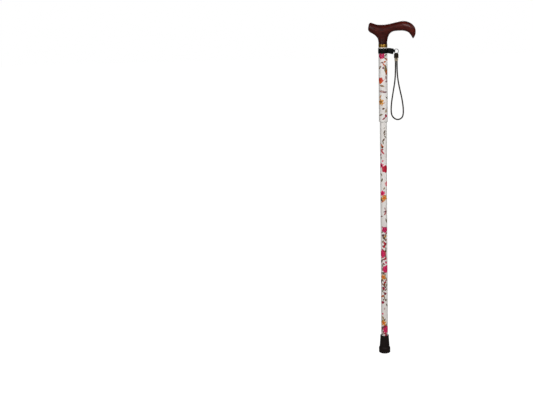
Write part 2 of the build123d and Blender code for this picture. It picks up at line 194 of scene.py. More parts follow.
# ---- materials ------------------------------------------------------------
class Look:
    """A Principled material whose nodes are added one call at a time."""

    def __init__(self, name, **settings):
        self.material = bpy.data.materials.new(name)
        self.material.use_nodes = True
        self.nodes = self.material.node_tree.nodes
        self.links = self.material.node_tree.links
        self.shader = self.nodes["Principled BSDF"]
        self.set(**settings)
        self.place = self.add("TexCoord").outputs["Object"]

    def set(self, **settings):
        """Set or link the shader's own sockets, named with underscores."""
        for name, value in settings.items():
            self.feed(self.shader.inputs[name.replace("_", " ")], value)

    def feed(self, socket, value):
        if isinstance(value, bpy.types.NodeSocket):
            self.links.new(value, socket)
        else:
            socket.default_value = value

    def add(self, kind, *inputs, **settings):
        """Add a node, give its sockets values or links in order, and return the node."""
        node = self.nodes.new("ShaderNode" + kind)
        for name, value in settings.items():
            setattr(node, name, value)
        for socket, value in zip([s for s in node.inputs if s.enabled], inputs):
            if value is not None:
                self.feed(socket, value)
        return node

    def math(self, operation, *inputs):
        return self.add("Math", *inputs, operation=operation).outputs[0]

    def stretched(self, scale):
        """Object coordinates, scaled along each axis."""
        return self.add("Mapping", self.place, None, None, scale).outputs[0]

    def noise(self, scale, detail=3, roughness=0.5, vector=None):
        node = self.add("TexNoise")
        self.feed(node.inputs["Vector"], vector or self.place)
        self.feed(node.inputs["Scale"], scale)
        self.feed(node.inputs["Detail"], detail)
        self.feed(node.inputs["Roughness"], roughness)
        return node.outputs["Fac"]

    def ramp(self, factor, *stops):
        """A colour ramp of (place, colour) stops."""
        node = self.add("ValToRGB", factor)
        elements = node.color_ramp.elements
        while len(elements) < len(stops):
            elements.new(0.5)
        for element, (place, colour) in zip(elements, stops):
            element.position = place
            element.color = (*colour, 1)
        return node.outputs["Color"]

    def span(self, value, from_low, from_high, to_low=0.0, to_high=1.0):
        return self.add("MapRange", value, from_low, from_high, to_low, to_high).outputs[0]

    def mix(self, factor, first, second):
        node = self.add("Mix", data_type="RGBA")
        self.feed(node.inputs["Factor"], factor)
        for name, value in (("A", first), ("B", second)):
            socket = [s for s in node.inputs if s.name == name and s.type == "RGBA"][0]
            self.feed(socket, value if isinstance(value, bpy.types.NodeSocket) else (*value, 1))
        return [s for s in node.outputs if s.type == "RGBA"][0]

    def bump(self, height, strength, distance):
        node = self.add("Bump")
        self.feed(node.inputs["Strength"], strength)
        self.feed(node.inputs["Distance"], distance)
        self.feed(node.inputs["Height"], height)
        self.set(Normal=node.outputs[0])


def rgb(code):
    """A linear colour from the usual six-figure screen code."""
    screen = [int(code[i:i + 2], 16) / 255 for i in (0, 2, 4)]
    return tuple(c / 12.92 if c <= 0.04045 else ((c + 0.055) / 1.055) ** 2.4 for c in screen)


# How far up from the collar the painted shade on the neck fades out.
NECK_HEIGHT = 32 * mm


def wood_look():
    """Dark red-brown lacquered wood, its grain along the grip, and painted shade that darkens the neck
    under the grip.
    """
    look = Look("lacquered_wood", Coat_Weight=0.09, Coat_Roughness=0.25, Specular_IOR_Level=0.14)
    wander = look.noise(28, 2)
    shift = look.add("VectorMath", look.place, (0, 0, 0), operation="ADD")
    offset = look.add("CombineXYZ", 0.0, look.math("MULTIPLY", wander, 0.006),
                      look.math("MULTIPLY", wander, 0.012)).outputs[0]
    look.feed(shift.inputs[1], offset)
    along = look.add("Mapping", shift.outputs[0], None, (0, radians(8), 0), (9, 60, 90)).outputs[0]
    grain = look.noise(9, 5, 0.62, along)
    pores = look.noise(26, 3, 0.7, along)
    cloud = look.noise(22, 2)
    tone = look.math("ADD", look.math("MULTIPLY", grain, 0.7), look.math("MULTIPLY", cloud, 0.3))
    colour = look.ramp(tone, (0.36, rgb("1c0605")), (0.46, rgb("340b07")),
                       (0.56, rgb("4d130b")), (0.68, rgb("6b2212")))
    dark_pores = look.span(pores, 0.56, 0.68, 0.0, 0.4)
    height = look.add("SeparateXYZ", look.place).outputs[2]
    # Painted shade: the neck darkens towards the collar, as if shaded by the grip above it.
    neck_painted_shade = look.span(height, COLLAR_TOP_Z, COLLAR_TOP_Z + NECK_HEIGHT, 0.85, 0.0)
    toned = look.mix(neck_painted_shade, colour, rgb("1f0606"))
    look.set(Base_Color=look.mix(dark_pores, toned, rgb("120505")))
    look.set(Roughness=look.span(pores, 0.4, 0.7, 0.36, 0.46))
    look.bump(look.math("ADD", pores, grain), 0.04, 0.0003)
    return look.material


def metal_look(name, light, dark, roughness, brushed=(1, 1, 14), scratches=0.12):
    """A metal with fine brushing round the shaft and a slight cloudiness."""
    look = Look(name, Metallic=1.0)
    brush = look.noise(900, 2, 0.6, look.stretched(brushed))
    cloud = look.noise(120, 3)
    mottled = look.math("ADD", look.math("MULTIPLY", brush, 0.5), look.math("MULTIPLY", cloud, 0.5))
    look.set(Base_Color=look.ramp(mottled, (0.3, dark), (0.62, light)))
    look.set(Roughness=look.span(brush, 0.3, 0.7, roughness - 0.06, roughness + 0.08))
    look.bump(brush, scratches, 0.00005)
    return look.material


def moulded_look(name, light, dark, roughness, texture_scale=1500, bump=0.12, specular=0.4):
    """Moulded plastic or rubber with a fine matt texture and faint dusty patches."""
    look = Look(name, Specular_IOR_Level=specular)
    fine = look.noise(texture_scale, 2)
    patches = look.noise(70, 4, 0.6)
    tone = look.math("ADD", look.math("MULTIPLY", fine, 0.35), look.math("MULTIPLY", patches, 0.65))
    look.set(Base_Color=look.ramp(tone, (0.35, dark), (0.68, light)))
    look.set(Roughness=look.span(patches, 0.3, 0.7, roughness - 0.06, roughness + 0.08))
    look.bump(fine, bump, 0.0001)
    return look.material


def leather_look(name, dark, light):
    """Grained leather with a worn sheen."""
    look = Look(name, Specular_IOR_Level=0.09)
    cells = look.add("TexVoronoi", feature="DISTANCE_TO_EDGE")
    look.feed(cells.inputs["Vector"], look.place)
    look.feed(cells.inputs["Scale"], 1300)
    creases = look.span(cells.outputs["Distance"], 0.0, 0.16)
    worn = look.noise(260, 4, 0.65)
    look.set(Base_Color=look.ramp(worn, (0.36, dark), (0.66, light)))
    look.set(Roughness=look.span(worn, 0.3, 0.7, 0.38, 0.55))
    look.bump(creases, 0.35, 0.00012)
    return look.material


TWIST_SCALE = 260


def thread_look(name, light, dark):
    """A twisted thread: fine slanting bands, with the fibres' fuzz as noise; the colour darkens where the
    bump dips, as painted shade in the twist's grooves.
    """
    look = Look(name, Roughness=0.75, Sheen_Weight=0.3)
    bands = look.add("TexWave", bands_direction="DIAGONAL")
    look.feed(bands.inputs["Vector"], look.place)
    look.feed(bands.inputs["Scale"], TWIST_SCALE)
    look.feed(bands.inputs["Distortion"], 1.5)
    fuzz = look.noise(3000, 3)
    tone = look.math("ADD", look.math("MULTIPLY", bands.outputs["Fac"], 0.6),
                     look.math("MULTIPLY", fuzz, 0.4))
    # Painted shade: the same tone that raises the bump lightens the colour, so the twist's grooves come
    # out darker.
    look.set(Base_Color=look.ramp(tone, (0.25, dark), (0.75, light)))
    look.bump(tone, 0.3, 0.0001)
    return look.material


def braid_look():
    """The braided cord: dark strands with a few lighter yarns, read along and around it, and painted
    shade in the grooves between the strands.
    """
    look = Look("braided_cord", Roughness=0.62, Sheen_Weight=0.1, Specular_IOR_Level=0.25)
    run = look.add("UVMap", uv_map="run").outputs[0]
    split = look.add("SeparateXYZ", run)
    along, around = split.outputs[0], split.outputs[1]
    right = look.math("SINE", look.math("ADD", look.math("MULTIPLY", along, BRAID_PACE),
                                        look.math("MULTIPLY", around, BRAID_STRANDS)))
    left = look.math("SINE", look.math("SUBTRACT", look.math("MULTIPLY", along, BRAID_PACE),
                                       look.math("MULTIPLY", around, BRAID_STRANDS)))
    over = look.math("MAXIMUM", right, left)
    fuzz = look.noise(2200, 3)
    yarn = look.noise(900, 2)
    # Painted shade: the colour darkens where the strands dip into the grooves of the cord's relief.
    tone = look.math("ADD", look.span(over, -0.4, 1.0, 0.0, 0.62), look.math("MULTIPLY", fuzz, 0.38))
    colour = look.ramp(tone, (0.2, rgb("070604")), (0.55, rgb("16120c")), (0.9, rgb("2a231a")))
    look.set(Base_Color=look.mix(look.span(yarn, 0.58, 0.64, 0.0, 0.35), colour, rgb("40382a")))
    look.bump(fuzz, 0.4, 0.0002)
    return look.material


# ---- the shaft's flower print ---------------------------------------------
FILM_DEPTH = 0.3 * mm
WHITE_FILM = rgb("ece8e4")
PINK, CRIMSON, WINE, RED = rgb("e61468"), rgb("b00c3c"), rgb("5c0a20"), rgb("c21228")
ORANGE, BROWN, TAN, OLIVE = rgb("d85c10"), rgb("4a2614"), rgb("8a602c"), rgb("655c28")
MAUVE, YELLOW, CREAM = rgb("84525c"), rgb("d8912c"), rgb("dcb8a4")

# Each flower or leaf: its kind, height in mm, degrees round from the front, half size in mm
# before it is grown, turn in degrees and two colours. Leaves and buds come first, so the
# flowers lie over them. The print comes round twice, so the shaft's back shows the same.
PRINT = [
    ("leaf", 787, 38, 4.6, 35, OLIVE, BROWN), ("bud", 783, -6, 3.6, 100, CRIMSON, WINE),
    ("leaf", 779, 30, 4.2, 150, TAN, BROWN), ("bud", 776, 62, 3.2, 60, ORANGE, BROWN),
    ("bud", 771, 24, 2.6, 40, ORANGE, TAN), ("leaf", 769, -12, 4.0, 15, MAUVE, TAN),
    ("leaf", 764, 10, 5.0, 125, ORANGE, BROWN), ("leaf", 757, -43, 5.2, 50, TAN, BROWN),
    ("bud", 756, 2, 2.8, 80, MAUVE, WINE), ("leaf", 752, 37, 10.0, 95, OLIVE, TAN),
    ("leaf", 745, 50, 7.0, 70, ORANGE, BROWN), ("leaf", 740, 60, 5.0, 85, TAN, BROWN),
    ("leaf", 731, 42, 5.5, 105, MAUVE, TAN), ("bud", 728, -26, 4.0, 70, ORANGE, RED),
    ("bud", 722, 46, 2.6, 60, MAUVE, BROWN), ("leaf", 711, -15, 5.6, 165, TAN, OLIVE),
    ("leaf", 697, -18, 6.6, 172, MAUVE, CREAM), ("leaf", 695, 25, 5.0, 8, MAUVE, BROWN),
    ("leaf", 684, -40, 4.6, 60, YELLOW, TAN), ("leaf", 680, 58, 4.6, 140, OLIVE, BROWN),
    ("leaf", 668, 8, 3.4, 20, CREAM, MAUVE), ("leaf", 664, -16, 3.6, 80, YELLOW, OLIVE),
    ("bud", 654, 2, 2.8, 10, BROWN, TAN), ("leaf", 648, 38, 5.0, 75, OLIVE, YELLOW),
    ("leaf", 638, -34, 4.8, 20, OLIVE, TAN), ("bud", 636, 38, 3.8, 115, CRIMSON, WINE),
    ("leaf", 629, 9, 5.0, 35, WINE, RED), ("leaf", 604, 12, 2.6, 60, OLIVE, TAN),
    ("leaf", 594, 17, 4.6, 70, BROWN, OLIVE), ("leaf", 588, 22, 3.4, 30, BROWN, TAN),
    ("leaf", 582, 30, 3.6, 125, OLIVE, BROWN), ("leaf", 574, 1, 4.8, 55, BROWN, TAN),
    ("leaf", 567, -6, 3.8, 100, OLIVE, BROWN), ("leaf", 560, -30, 5.0, 120, ORANGE, BROWN),
    ("bud", 556, -18, 3.4, 50, BROWN, ORANGE), ("bud", 549, -22, 3.0, 20, RED, WINE),
    ("leaf", 544, -30, 4.6, 150, RED, WINE), ("leaf", 541, -10, 4.8, 130, RED, CRIMSON),
    ("leaf", 535, -60, 4.8, 40, WINE, PINK), ("leaf", 528, -44, 3.2, 100, OLIVE, BROWN),
    ("bud", 520, -10, 2.4, 20, PINK, CREAM), ("leaf", 493, 44, 5.0, 60, WINE, RED),
    ("leaf", 485, -46, 4.4, 130, OLIVE, TAN), ("leaf", 470, -30, 4.6, 75, OLIVE, BROWN),
    ("leaf", 448, 8, 3.8, 70, TAN, OLIVE), ("leaf", 438, -2, 3.6, 60, CRIMSON, WINE),
    ("leaf", 428, 26, 4.4, 120, BROWN, ORANGE), ("leaf", 421, -48, 5.0, 80, BROWN, OLIVE),
    ("bud", 417, -34, 2.8, 10, BROWN, OLIVE), ("leaf", 414, -20, 4.4, 40, ORANGE, BROWN),
    ("leaf", 395, 20, 3.6, 100, MAUVE, CREAM), ("bud", 388, 34, 2.6, 90, WINE, RED),
    ("leaf", 387, 14, 3.6, 20, WINE, BROWN), ("leaf", 382, 24, 5.0, 55, RED, BROWN),
    ("leaf", 374, -44, 4.2, 20, MAUVE, TAN), ("leaf", 363, 44, 5.4, 110, OLIVE, BROWN),
    ("leaf", 344, -12, 5.0, 140, CRIMSON, WINE), ("leaf", 336, 40, 5.4, 60, BROWN, WINE),
    ("leaf", 333, -28, 4.0, 60, BROWN, TAN), ("leaf", 329, 42, 4.6, 30, CRIMSON, WINE),
    ("bud", 324, -14, 3.6, 30, WINE, BROWN), ("leaf", 323, 24, 4.6, 100, OLIVE, BROWN),
    ("leaf", 319, 12, 6.4, 45, YELLOW, OLIVE), ("leaf", 316, 2, 6.2, 130, BROWN, OLIVE),
    ("bud", 311, 34, 3.0, 20, BROWN, ORANGE), ("leaf", 307, -20, 4.2, 60, OLIVE, TAN),
    ("bud", 304, 6, 3.2, 110, CRIMSON, RED), ("bud", 300, 26, 4.0, 60, RED, WINE),
    ("leaf", 297, 12, 4.4, 20, BROWN, WINE), ("bud", 294, -6, 3.8, 150, RED, WINE),
    ("leaf", 288, 30, 4.2, 100, OLIVE, BROWN), ("leaf", 284, -22, 5.0, 130, WINE, CRIMSON),
    ("bud", 281, 22, 3.4, 60, BROWN, OLIVE), ("leaf", 277, 0, 9.6, 115, RED, WINE),
    ("leaf", 268, 10, 4.4, 160, BROWN, WINE), ("leaf", 266, -20, 6.0, 40, CRIMSON, PINK),
    ("bud", 262, 26, 3.8, 80, RED, CRIMSON), ("leaf", 259, -2, 4.8, 20, CRIMSON, WINE),
    ("leaf", 254, -44, 5.6, 60, BROWN, OLIVE), ("bud", 251, 34, 3.4, 100, PINK, WINE),
    ("leaf", 247, -6, 4.2, 140, WINE, RED), ("leaf", 243, -26, 4.6, 80, OLIVE, BROWN),
    ("leaf", 238, 12, 5.0, 50, WINE, BROWN), ("leaf", 232, -34, 4.4, 100, MAUVE, TAN),
    ("bud", 226, 20, 4.0, 140, CRIMSON, PINK), ("leaf", 222, -32, 4.6, 20, BROWN, OLIVE),
    ("leaf", 221, -10, 5.0, 60, BROWN, TAN), ("leaf", 216, 14, 4.6, 100, OLIVE, BROWN),
    ("bud", 208, 8, 3.4, 60, WINE, BROWN), ("leaf", 206, 36, 4.6, 110, TAN, OLIVE),
    ("leaf", 202, -26, 4.2, 120, BROWN, TAN), ("leaf", 201, 30, 4.0, 10, CRIMSON, WINE),
    ("leaf", 199, -54, 5.6, 75, BROWN, WINE), ("bud", 196, 14, 3.4, 30, RED, WINE),
    ("bud", 191, 4, 3.2, 80, BROWN, OLIVE), ("leaf", 190, -16, 5.6, 150, BROWN, ORANGE),
    ("leaf", 188, 44, 4.6, 70, OLIVE, BROWN), ("leaf", 184, 12, 4.6, 130, WINE, BROWN),
    ("bud", 180, -14, 4.4, 120, CRIMSON, WINE), ("leaf", 176, 26, 4.8, 40, BROWN, TAN),
    ("leaf", 174, -24, 4.6, 70, OLIVE, BROWN), ("leaf", 168, 4, 4.2, 160, MAUVE, TAN),
    ("bud", 165, 20, 3.4, 40, WINE, CRIMSON), ("leaf", 158, -34, 6.2, 30, ORANGE, BROWN),
    ("leaf", 156, 0, 4.2, 110, OLIVE, TAN), ("leaf", 149, -12, 4.0, 60, BROWN, TAN),
    ("bud", 148, 24, 3.0, 100, OLIVE, BROWN), ("bud", 141, -28, 4.4, 20, CRIMSON, WINE),
    ("leaf", 133, 48, 4.6, 120, OLIVE, BROWN), ("leaf", 124, 4, 3.6, 80, MAUVE, CREAM),
    ("bud", 110, -30, 2.8, 50, PINK, CREAM), ("leaf", 98, -26, 5.4, 115, OLIVE, YELLOW),
    ("leaf", 92, 2, 4.6, 60, OLIVE, BROWN), ("leaf", 88, -38, 5.0, 100, BROWN, OLIVE),
    ("leaf", 78, 34, 4.4, 95, TAN, OLIVE), ("bud", 76, 10, 3.8, 30, CRIMSON, BROWN),
    ("leaf", 72, -14, 6.4, 15, WINE, BROWN), ("leaf", 67, -34, 5.2, 150, BROWN, WINE),
    ("leaf", 62, -52, 5.2, 100, BROWN, OLIVE), ("leaf", 59, -18, 4.8, 70, WINE, RED),
    ("leaf", 55, 8, 4.8, 25, RED, BROWN), ("leaf", 52, -40, 4.6, 20, BROWN, OLIVE),
    ("bud", 51, 28, 4.0, 90, CRIMSON, WINE), ("rose", 786, -20, 7.4, 20, PINK, WINE),
    ("tulip", 724, -38, 8.0, 75, ORANGE, RED), ("blossom", 671, -32, 7.4, 30, YELLOW, TAN),
    ("blossom", 508, -38, 6.0, 25, PINK, WINE), ("rose", 499, 26, 8.2, 60, RED, CRIMSON),
    ("rose", 460, 64, 6.0, 0, PINK, CREAM), ("blossom", 435, -26, 7.0, 15, PINK, CRIMSON),
    ("blossom", 423, 8, 7.4, 50, YELLOW, ORANGE), ("rose", 339, 16, 7.2, 110, PINK, WINE),
    ("blossom", 277, -44, 6.6, 0, PINK, CRIMSON), ("rose", 272, -28, 6.4, 40, PINK, CRIMSON),
    ("rose", 233, 36, 8.8, 200, PINK, CRIMSON), ("blossom", 211, -16, 6.8, 40, YELLOW, ORANGE),
    ("blossom", 84, -18, 7.2, 20, YELLOW, ORANGE), ("rose", 65, 44, 9.0, 150, PINK, CRIMSON),
]
PRINT_GROWTH = 1.22


class Motif:
    """A node group that lays one kind of flower or leaf over the colours below it."""

    def __init__(self, kind):
        self.group = bpy.data.node_groups.new("print_" + kind, "ShaderNodeTree")
        face = self.group.interface
        for name, form in (("Below", "NodeSocketColor"), ("Place", "NodeSocketVector"),
                           ("First", "NodeSocketColor"), ("Second", "NodeSocketColor")):
            face.new_socket(name, in_out="INPUT", socket_type=form)
        face.new_socket("Colour", in_out="OUTPUT", socket_type="NodeSocketColor")
        self.nodes = self.group.nodes
        self.links = self.group.links
        self.source = self.nodes.new("NodeGroupInput").outputs
        split = self.add("SeparateXYZ", self.source["Place"])
        self.x, self.y = split.outputs[0], split.outputs[1]
        cover, blend = getattr(self, kind)()
        inked = self.mix(blend, self.source["First"], self.source["Second"])
        out = self.nodes.new("NodeGroupOutput")
        self.links.new(self.mix(cover, self.source["Below"], inked), out.inputs[0])

    feed = Look.feed
    add = Look.add
    math = Look.math
    span = Look.span
    mix = Look.mix

    def polar(self):
        reach = self.add("VectorMath", self.source["Place"], operation="LENGTH").outputs["Value"]
        return reach, self.math("ARCTAN2", self.y, self.x)

    def rose(self):
        """Petals that wind in to the middle, inside a scalloped edge."""
        reach, turn = self.polar()
        scallop = self.math("SINE", self.math("MULTIPLY", turn, 5.0))
        edge = self.math("SUBTRACT", self.math("MULTIPLY_ADD", scallop, 0.09, 0.9), reach)
        winding = self.math("MULTIPLY_ADD", reach, 12.0, self.math("MULTIPLY", turn, 2.0))
        shade = self.span(self.math("SINE", winding), -0.4, 0.5, 0.0, 0.9)
        return self.span(edge, 0.0, 0.03, 0.0, 1.0), shade

    def blossom(self):
        """Five open petals round a middle of the second colour."""
        reach, turn = self.polar()
        lobes = self.math("ABSOLUTE", self.math("COSINE", self.math("MULTIPLY", turn, 2.5)))
        edge = self.math("SUBTRACT", self.math("MULTIPLY_ADD", lobes, 0.5, 0.45), reach)
        middle = self.span(reach, 0.5, 0.2, 0.0, 1.0)
        return self.span(edge, 0.0, 0.04, 0.0, 1.0), middle

    def leaf(self):
        """A pointed leaf along X, darker along its middle."""
        width = self.math("MULTIPLY_ADD", self.math("MULTIPLY", self.x, self.x), -0.36, 0.36)
        off_middle = self.math("ABSOLUTE", self.y)
        edge = self.math("SUBTRACT", width, off_middle)
        return self.span(edge, 0.0, 0.03, 0.0, 0.95), self.span(off_middle, 0.16, 0.02, 0.0, 0.85)

    def bud(self):
        """A round bud that fades to the second colour at one end."""
        drop = self.math("MULTIPLY", self.y, self.math("MULTIPLY_ADD", self.x, 0.45, 1.35))
        reach = self.math("SQRT", self.math("ADD", self.math("MULTIPLY", self.x, self.x),
                                            self.math("MULTIPLY", drop, drop)))
        return self.span(reach, 0.94, 0.89, 0.0, 1.0), self.span(self.x, -0.3, 0.9, 0.0, 1.0)

    def tulip(self):
        """Three pointed petals side by side, seen from the side."""
        fan = self.math("ABSOLUTE", self.math("SINE", self.math("MULTIPLY", self.y, 4.6)))
        height = self.math("MULTIPLY_ADD", fan, 0.55, 0.25)
        cup = self.math("MULTIPLY", self.y, self.y)
        low = self.math("SUBTRACT", self.x, self.math("MULTIPLY_ADD", cup, 1.6, -0.85))
        edge = self.math("MINIMUM", self.math("SUBTRACT", height, self.x), low)
        return self.span(edge, 0.0, 0.03, 0.0, 1.0), self.span(self.x, -0.5, 0.6, 0.0, 1.0)


def print_look(name, radius, foot_z, top_z, motifs):
    """White film with one tube's part of the print, and bare aluminium inside the film."""
    look = Look(name, Coat_Weight=0.25, Coat_Roughness=0.2, Specular_IOR_Level=0.45)
    split = look.add("SeparateXYZ", look.place)
    angle = look.math("ARCTAN2", split.outputs[0], look.math("MULTIPLY", split.outputs[1], -1.0))
    place = look.add("CombineXYZ", look.math("MULTIPLY", angle, radius), split.outputs[2], 0.0).outputs[0]
    cloud = look.noise(45, 3)
    colour = look.mix(look.span(cloud, 0.35, 0.7, 0.0, 1.0), WHITE_FILM, rgb("e2dcd7"))
    half_way = pi * radius / 2
    for kind, height, around, half_size, turn, first, second in PRINT:
        size = half_size * PRINT_GROWTH * mm
        if foot_z - size < height * mm < top_z + size:
            centre = (radians(around) * radius, height * mm, 0)
            away = look.add("VectorMath", place, centre, operation="SUBTRACT").outputs[0]
            near = look.add("VectorMath", away, operation="WRAP")
            near.inputs[1].default_value = (half_way, 1, 1)
            near.inputs[2].default_value = (-half_way, -1, -1)
            local = look.add("Mapping", near.outputs[0], None, (0, 0, radians(turn)),
                             (size, size, 1), vector_type="TEXTURE").outputs[0]
            laid = look.add("Group")
            laid.node_tree = motifs[kind].group
            look.feed(laid.inputs["Below"], colour)
            look.feed(laid.inputs["Place"], local)
            laid.inputs["First"].default_value = (*first, 1)
            laid.inputs["Second"].default_value = (*second, 1)
            colour = laid.outputs[0]
    across = look.add("CombineXYZ", split.outputs[0], split.outputs[1], 0.0).outputs[0]
    reach = look.add("VectorMath", across, operation="LENGTH").outputs["Value"]
    bare = look.math("LESS_THAN", reach, radius - FILM_DEPTH)
    look.set(Base_Color=look.mix(bare, colour, rgb("85878a")), Metallic=look.math("MULTIPLY", bare, 0.7))
    look.set(Roughness=look.span(cloud, 0.3, 0.7, 0.3, 0.4))
    look.bump(cloud, 0.05, 0.0005)
    return look.material


def dress(piece, material):
    piece.data.materials.clear()
    piece.data.materials.append(material)


def finish_piece(piece, material, body, slot, *replaced):
    """Give a piece its material and body, and hide the CAD nodes it stands for; the slot is not used."""
    dress(piece, material)
    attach(piece, body)
    if replaced:
        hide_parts(*replaced)


# ---- handle ---------------------------------------------------------------
# The grip's sections from the nose to the hook's tip, in mm: the top edge's x and height
# over the collar, the underside's x and height, and the half width.
GRIP = [
    (-35.2, 47.0, -36.6, 38.4, 4.6),
    (-34.3, 50.4, -35.8, 34.4, 7.2),
    (-30.8, 53.9, -31.4, 29.4, 9.6),
    (-24.0, 51.5, -25.7, 26.3, 10.8),
    (-15.5, 48.7, -17.5, 21.0, 11.8),
    (-4.0, 47.8, -9.0, 15.5, 12.4),
    (5.0, 48.1, 3.0, 17.5, 12.7),
    (13.0, 49.1, 13.5, 23.6, 12.9),
    (20.5, 50.5, 21.6, 28.7, 12.9),
    (28.0, 52.2, 28.4, 31.2, 12.9),
    (42.5, 54.9, 43.7, 31.9, 12.6),
    (52.0, 55.4, 51.5, 31.3, 12.2),
    (61.5, 53.1, 58.0, 29.6, 11.4),
    (70.0, 48.8, 63.5, 26.6, 10.4),
    (76.0, 42.8, 67.0, 22.6, 9.2),
    (79.6, 36.6, 69.4, 19.6, 8.0),
    (80.7, 29.8, 71.0, 16.6, 6.6),
    (80.3, 23.2, 72.2, 14.4, 5.2),
    (78.6, 18.0, 73.0, 12.6, 3.8),
    (76.2, 13.8, 74.0, 11.4, 2.0),
]
# The neck's sections in mm: height over the collar, lowest x, highest x, half width.
NECK = [
    (-10.0, -11.0, 10.7, 10.8),
    (0.0, -11.0, 10.7, 10.8),
    (4.6, -11.1, 10.7, 10.8),
    (10.6, -12.0, 11.5, 10.9),
    (15.5, -13.7, 12.6, 11.1),
    (19.8, -17.3, 14.2, 11.4),
    (24.9, -21.8, 17.0, 11.6),
    (30.0, -25.0, 22.6, 11.4),
    (36.0, -25.0, 27.0, 10.6),
]
HANDLE_VOXEL = 0.8 * mm
HANDLE_SMOOTHING = 14
SECTION_POINTS = 56
GRIP_SQUARENESS = 2.25
NECK_SQUARENESS = 2.0


def superellipse(middle, across, half_across, half_deep, power):
    """A ring of points round a middle: across runs in XZ, the depth runs along Y."""
    ring = []
    for turn in turns(SECTION_POINTS):
        u, v = cos(turn), sin(turn)
        stretch = (abs(u) ** power + abs(v) ** power) ** (-1 / power)
        ring.append(middle + across * (u * stretch * half_across)
                    + Vector((0, v * stretch * half_deep, 0)))
    return ring


def handle():
    """The grip and the neck, melted into one body and cut flat where it meets the collar."""
    grip_rings = []
    for top_x, top_h, low_x, low_h, half_deep in spline(GRIP, 6):
        top = Vector((top_x, 0, top_h)) * mm + Vector((0, 0, COLLAR_TOP_Z))
        low = Vector((low_x, 0, low_h)) * mm + Vector((0, 0, COLLAR_TOP_Z))
        across = (top - low).normalized()
        grip_rings.append(superellipse((top + low) / 2, across, (top - low).length / 2,
                                       half_deep * mm, GRIP_SQUARENESS))
    neck_rings = []
    for height, low_x, high_x, half_deep in spline(NECK, 4):
        middle = Vector(((low_x + high_x) / 2, 0, height)) * mm + Vector((0, 0, COLLAR_TOP_Z))
        neck_rings.append(superellipse(middle, Vector((1, 0, 0)), (high_x - low_x) / 2 * mm,
                                       half_deep * mm, NECK_SQUARENESS))
    piece = join_meshes("handle_wood", [skin("grip", grip_rings), skin("neck", neck_rings)])
    remesh = piece.modifiers.new("remesh", "REMESH")
    remesh.mode = "VOXEL"
    remesh.voxel_size = HANDLE_VOXEL
    smooth = piece.modifiers.new("smooth", "SMOOTH")
    smooth.factor = 0.5
    smooth.iterations = HANDLE_SMOOTHING
    apply_modifiers(piece)
    cut = bmesh.new()
    cut.from_mesh(piece.data)
    sliced = bmesh.ops.bisect_plane(cut, geom=cut.verts[:] + cut.edges[:] + cut.faces[:],
                                    plane_co=(0, 0, COLLAR_TOP_Z), plane_no=(0, 0, -1),
                                    clear_outer=True)
    rim = [edge for edge in sliced["geom_cut"] if isinstance(edge, bmesh.types.BMEdge)]
    bmesh.ops.contextual_create(cut, geom=rim)
    cut.to_mesh(piece.data)
    cut.free()
    piece.data.shade_smooth()
    piece.data.set_sharp_from_angle(angle=radians(60))
    return piece


# ---- turned pieces ---------------------------------------------------------
HEIGHT_HOLES = 7
HEIGHT_HOLE_STEP = 15 * mm
HEIGHT_HOLE_R = 3.2 * mm
PIN_HOLE_Z = 797 * mm
PIN_HOLE_R = 1.5 * mm
DRILL_REACH = 15 * mm
UPPER_RIM = 0.1 * mm
NARROW_RIM = 0.35 * mm
COLLAR_WALL = 1.2 * mm
LIP_ROUND = 1.3 * mm


def tube_profile(node, wall, rim, steps):
    """The wall of a tube as long as its CAD node, with its rims rounded."""
    low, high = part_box(node)
    bore_r = high.x - wall
    return rounded([(bore_r, low.z), (high.x, low.z), (high.x, high.z), (bore_r, high.z)], rim, steps)


def narrow_tube(node):
    return lathe(node + "_print", tube_profile(node, NARROW_WALL, NARROW_RIM, 4), 128)


def upper_tube():
    """The wide tube, with its row of height holes at the back and the handle's pin hole."""
    tube = lathe("upper_tube_print", tube_profile("upper_tube", UPPER_WALL, UPPER_RIM, 3), 144)
    first_z = (foot_of("snap_button").z + top_of("snap_button").z) / 2
    drills = [(first_z + k * HEIGHT_HOLE_STEP, HEIGHT_HOLE_R, 0) for k in range(HEIGHT_HOLES)]
    drills.append((PIN_HOLE_Z, PIN_HOLE_R, -DRILL_REACH))
    cutters = []
    for z, hole_r, from_y in drills:
        rings = [[(hole_r * cos(t), y, z + hole_r * sin(t)) for t in turns(40)]
                 for y in (from_y, DRILL_REACH)]
        cutters.append(skin("drill", rings))
    cutter = join_meshes("drills", cutters)
    cut = tube.modifiers.new("holes", "BOOLEAN")
    cut.operation = "DIFFERENCE"
    cut.solver = "EXACT"
    cut.object = cutter
    apply_modifiers(tube)
    bpy.data.objects.remove(cutter)
    mesh = tube.data
    normals = []
    for polygon in mesh.polygons:
        for corner in polygon.vertices:
            point = mesh.vertices[corner].co
            around = Vector((point.x, point.y, 0))
            on_wall = around.length > UPPER_R - 0.05 * mm and abs(polygon.normal.z) < 0.3
            outward = around.normalized()
            level = on_wall and polygon.normal.dot(outward) > 0.9
            normals.append(outward if level else Vector(polygon.normal))
    mesh.normals_split_custom_set([tuple(n) for n in normals])
    return tube


def gold_collar():
    """The turned collar: a plain barrel, and a groove that sets off a bead at its foot."""
    low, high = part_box("gold_collar")
    r = high.x
    inner = r - COLLAR_WALL
    profile = [
        (inner, low.z), (r - 0.5 * mm, low.z), (r - 0.15 * mm, low.z + 0.2 * mm), (r, low.z + 0.6 * mm),
        (r, low.z + 1.3 * mm), (r - 0.2 * mm, low.z + 1.6 * mm), (r - 0.35 * mm, low.z + 1.9 * mm),
        (r - 0.2 * mm, low.z + 2.2 * mm), (r, low.z + 2.5 * mm), (r, high.z - 1.0 * mm),
        (r - 0.12 * mm, high.z - 0.5 * mm), (r - 0.4 * mm, high.z - 0.15 * mm),
        (r - 0.8 * mm, high.z), (inner, high.z),
    ]
    return lathe("gold_collar_turned", profile, 128, 50)


